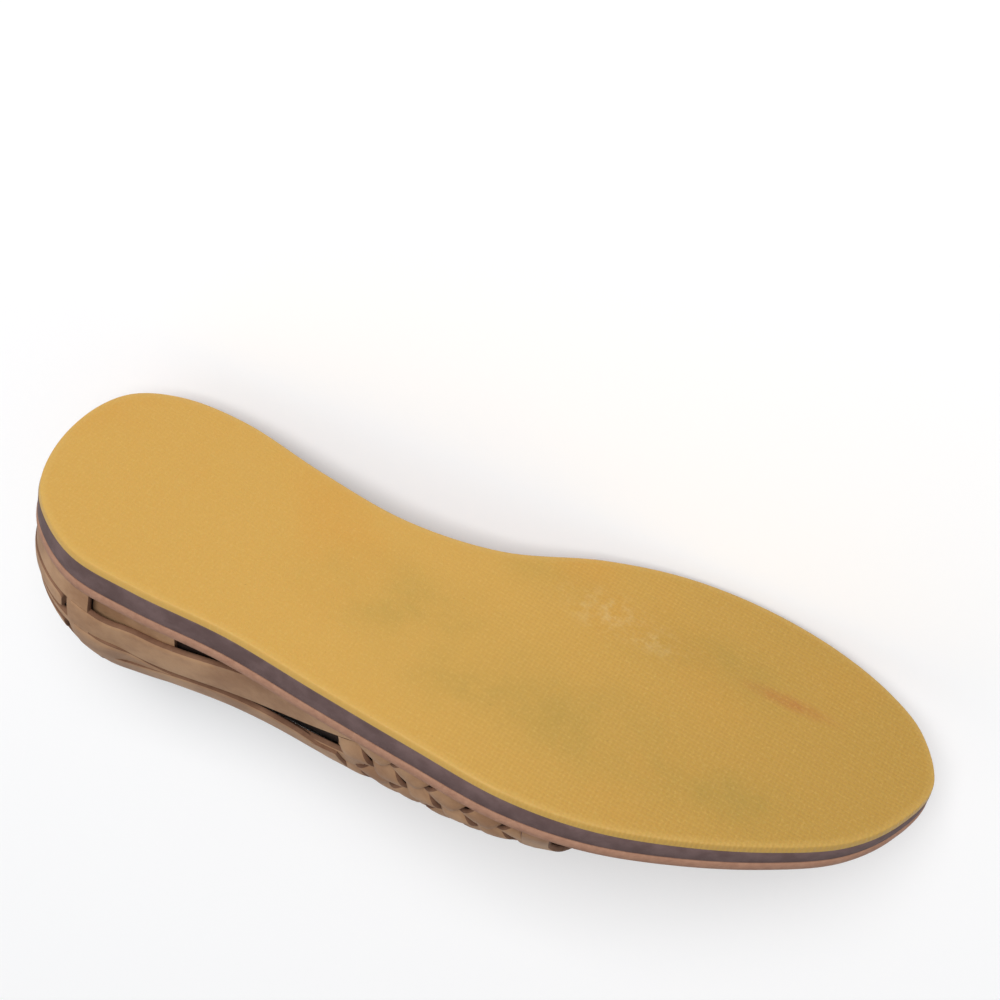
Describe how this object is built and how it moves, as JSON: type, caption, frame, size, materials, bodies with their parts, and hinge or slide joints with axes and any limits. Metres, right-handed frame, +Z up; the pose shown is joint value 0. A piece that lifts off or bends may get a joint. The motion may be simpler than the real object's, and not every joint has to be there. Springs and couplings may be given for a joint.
{
  "type": "woven leather sandal",
  "caption": "Open-toe woven leather sandal, left foot, lying on its inner side: flat gum rubber outsole, dark midsole, leather footbed, strap upper and slit heel counter.",
  "frame": {"origin": "bottom centre of the bounding box, on the floor the sandal lies on", "axes": "+X from heel to toe, +Z up from the floor, +Y out from under the tread (the outsole faces +Y and up)"},
  "size_m": [0.2824, 0.0914, 0.0957],
  "materials": {
    "gum_rubber": "ochre gum rubber, fine embossed dots, worn and slightly mottled",
    "midsole_rubber": "dark purple-brown foam rubber, matt, sanded edge",
    "footbed_leather": "pinkish tan vegetable leather with a raw cut edge",
    "strap_leather": "buff tan leather straps, matt, fuzzy raw edges",
    "counter_leather": "buff tan leather, matt, with cut slits"
  },
  "bodies": {
    "root": {"outsole": "gum_rubber", "midsole": "midsole_rubber", "footbed": "footbed_leather", "upper": "strap_leather", "heel_counter": "counter_leather"}
  },
  "joints": []
}
